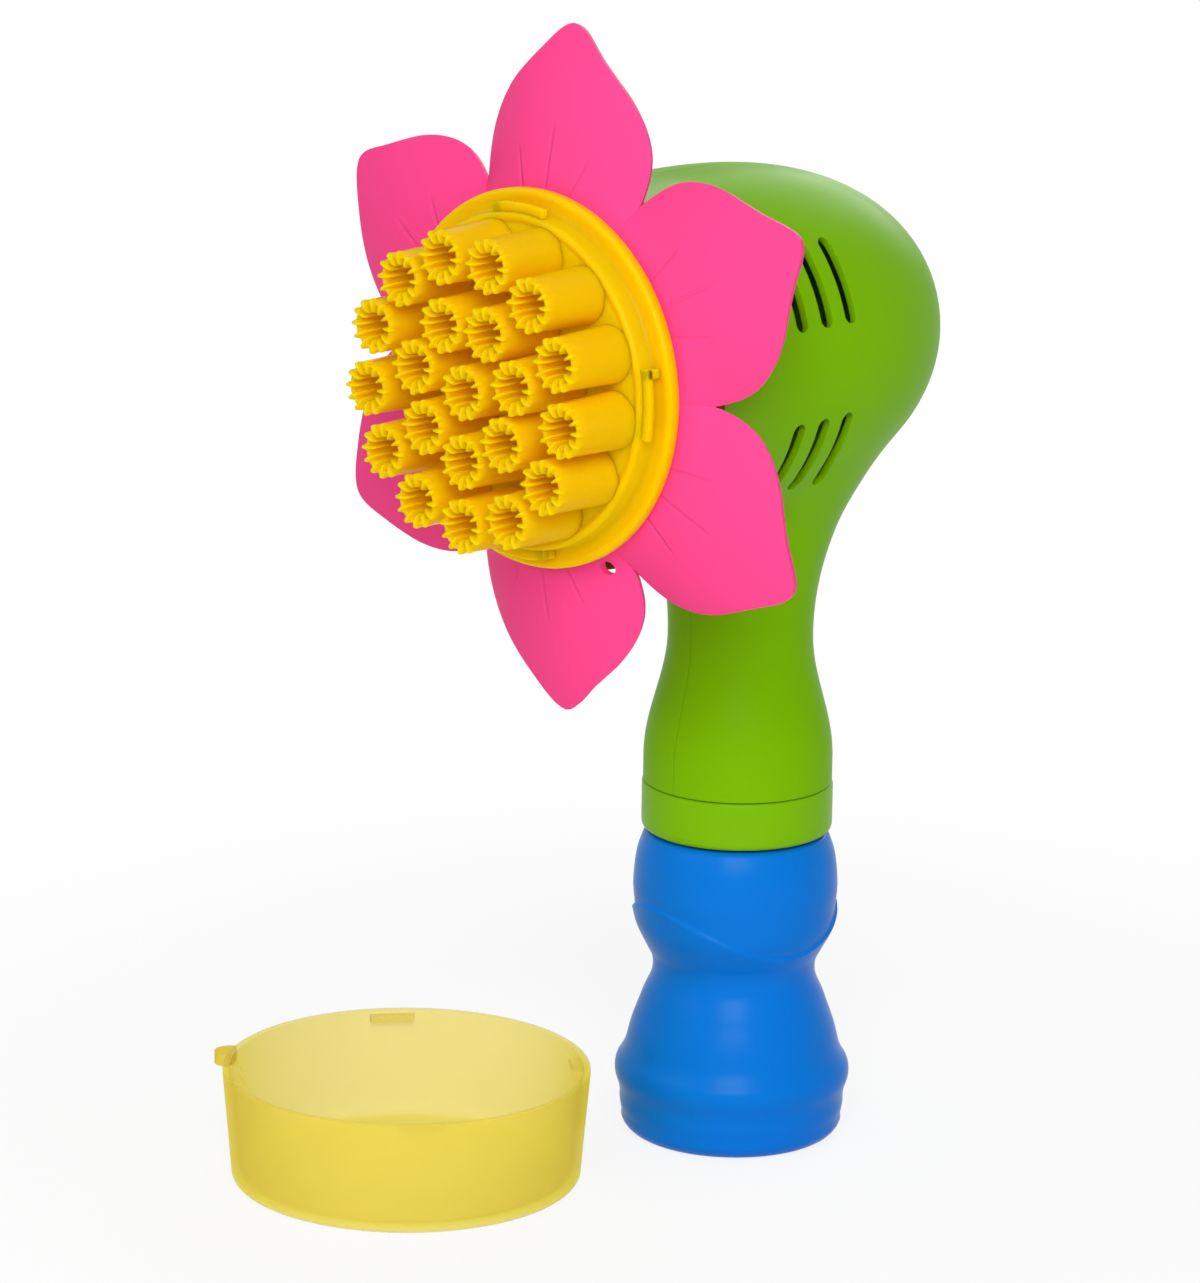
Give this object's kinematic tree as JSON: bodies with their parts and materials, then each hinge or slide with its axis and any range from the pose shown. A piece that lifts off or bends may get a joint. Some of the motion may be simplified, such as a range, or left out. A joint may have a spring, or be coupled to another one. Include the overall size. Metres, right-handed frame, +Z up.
{
  "type": "bubble wand",
  "caption": "Motor bubble wand with a flower head of ribbed tubes, a fan inside, a trigger, a screw-on solution bottle and a loose dip dish.",
  "frame": {"origin": "centre of the bottle's underside, on the table", "axes": "+Z up the bottle and the neck, -Y the way the flower faces, +X to the wand's left-hand side as it looks at the flower's front from behind"},
  "size_m": [0.1454, 0.1761, 0.2775],
  "materials": {
    "green_plastic": "satin moulded plastic",
    "pink_plastic": "satin moulded plastic",
    "yellow_plastic": "glossy moulded plastic",
    "dish_plastic": "translucent moulded plastic",
    "blue_plastic": "blow-moulded plastic",
    "white_plastic": "moulded plastic",
    "black_plastic": "moulded plastic",
    "steel": "bare steel",
    "brass": "sheet brass",
    "cell": "printed sleeve, left bare",
    "rubber": "soft sealing ring",
    "red_wire": "insulated wire",
    "blue_wire": "insulated wire",
    "black_wire": "insulated wire"
  },
  "bodies": {
    "wand": {"housing_right": "green_plastic", "housing_left": "green_plastic", "housing_screws": "steel", "flower": "pink_plastic", "bubble_nozzle": "yellow_plastic", "tube_plate": "yellow_plastic", "bubble_tubes": "yellow_plastic", "nozzle_screws": "steel", "air_duct": "white_plastic", "motor_mount": "white_plastic", "motor": "steel", "motor_screws": "steel", "battery_front": "cell", "battery_rear": "cell", "battery_cradle": "white_plastic", "contact_bridge": "brass", "contact_spring": "brass", "contact_plate": "brass", "switch": "black_plastic", "trigger_spring": "steel", "wire_switch": "red_wire", "wire_motor": "blue_wire", "wire_return": "black_wire", "bottle_cap": "green_plastic"},
    "trigger": {"trigger": "green_plastic"},
    "fan": {"fan": "white_plastic", "motor_shaft": "steel"},
    "seal": {"bottle_seal": "rubber"},
    "bottle": {"bottle": "blue_plastic"},
    "dish": {"dip_dish": "dish_plastic"},
    "door": {"battery_door": "green_plastic"},
    "door_screw": {"door_screw": "steel"}
  },
  "joints": [
    {"name": "trigger_press", "type": "slide", "parent": "wand", "child": "trigger", "axis": [0, 1, 0], "range_m": [0, 0.0025], "stiffness_N_per_m": 600, "springref_m": -0.002, "deforming": ["trigger_spring"]},
    {"name": "fan_spin", "type": "hinge", "parent": "wand", "child": "fan", "pos_m": [0, -0.043, 0.1972], "axis": [0, 1, 0], "continuous": true},
    {"name": "bottle_drop", "type": "slide", "parent": "wand", "child": "seal", "axis": [0, 0, -1], "range_m": [0, 0.006]},
    {"name": "bottle_turn", "type": "hinge", "parent": "seal", "child": "bottle", "pos_m": [0, 0, 0.04], "axis": [0, 0, -1], "range_deg": [0, 545]},
    {"name": "dish_lift", "type": "slide", "parent": "wand", "child": "dish", "axis": [0, 0, 1], "range_m": [0, 0.08]},
    {"name": "door_tilt", "type": "hinge", "parent": "wand", "child": "door", "pos_m": [0, 0.0214, 0.0982], "axis": [-1, 0, 0], "range_deg": [0, 75]},
    {"name": "door_screw_turn", "type": "hinge", "parent": "door", "child": "door_screw", "pos_m": [0, 0.0184, 0.1482], "axis": [0, 1, 0], "continuous": true}
  ],
  "couplings": [
    {"joint": "bottle_turn", "follows": "bottle_drop", "rad_per_m": 1570.8}
  ]
}
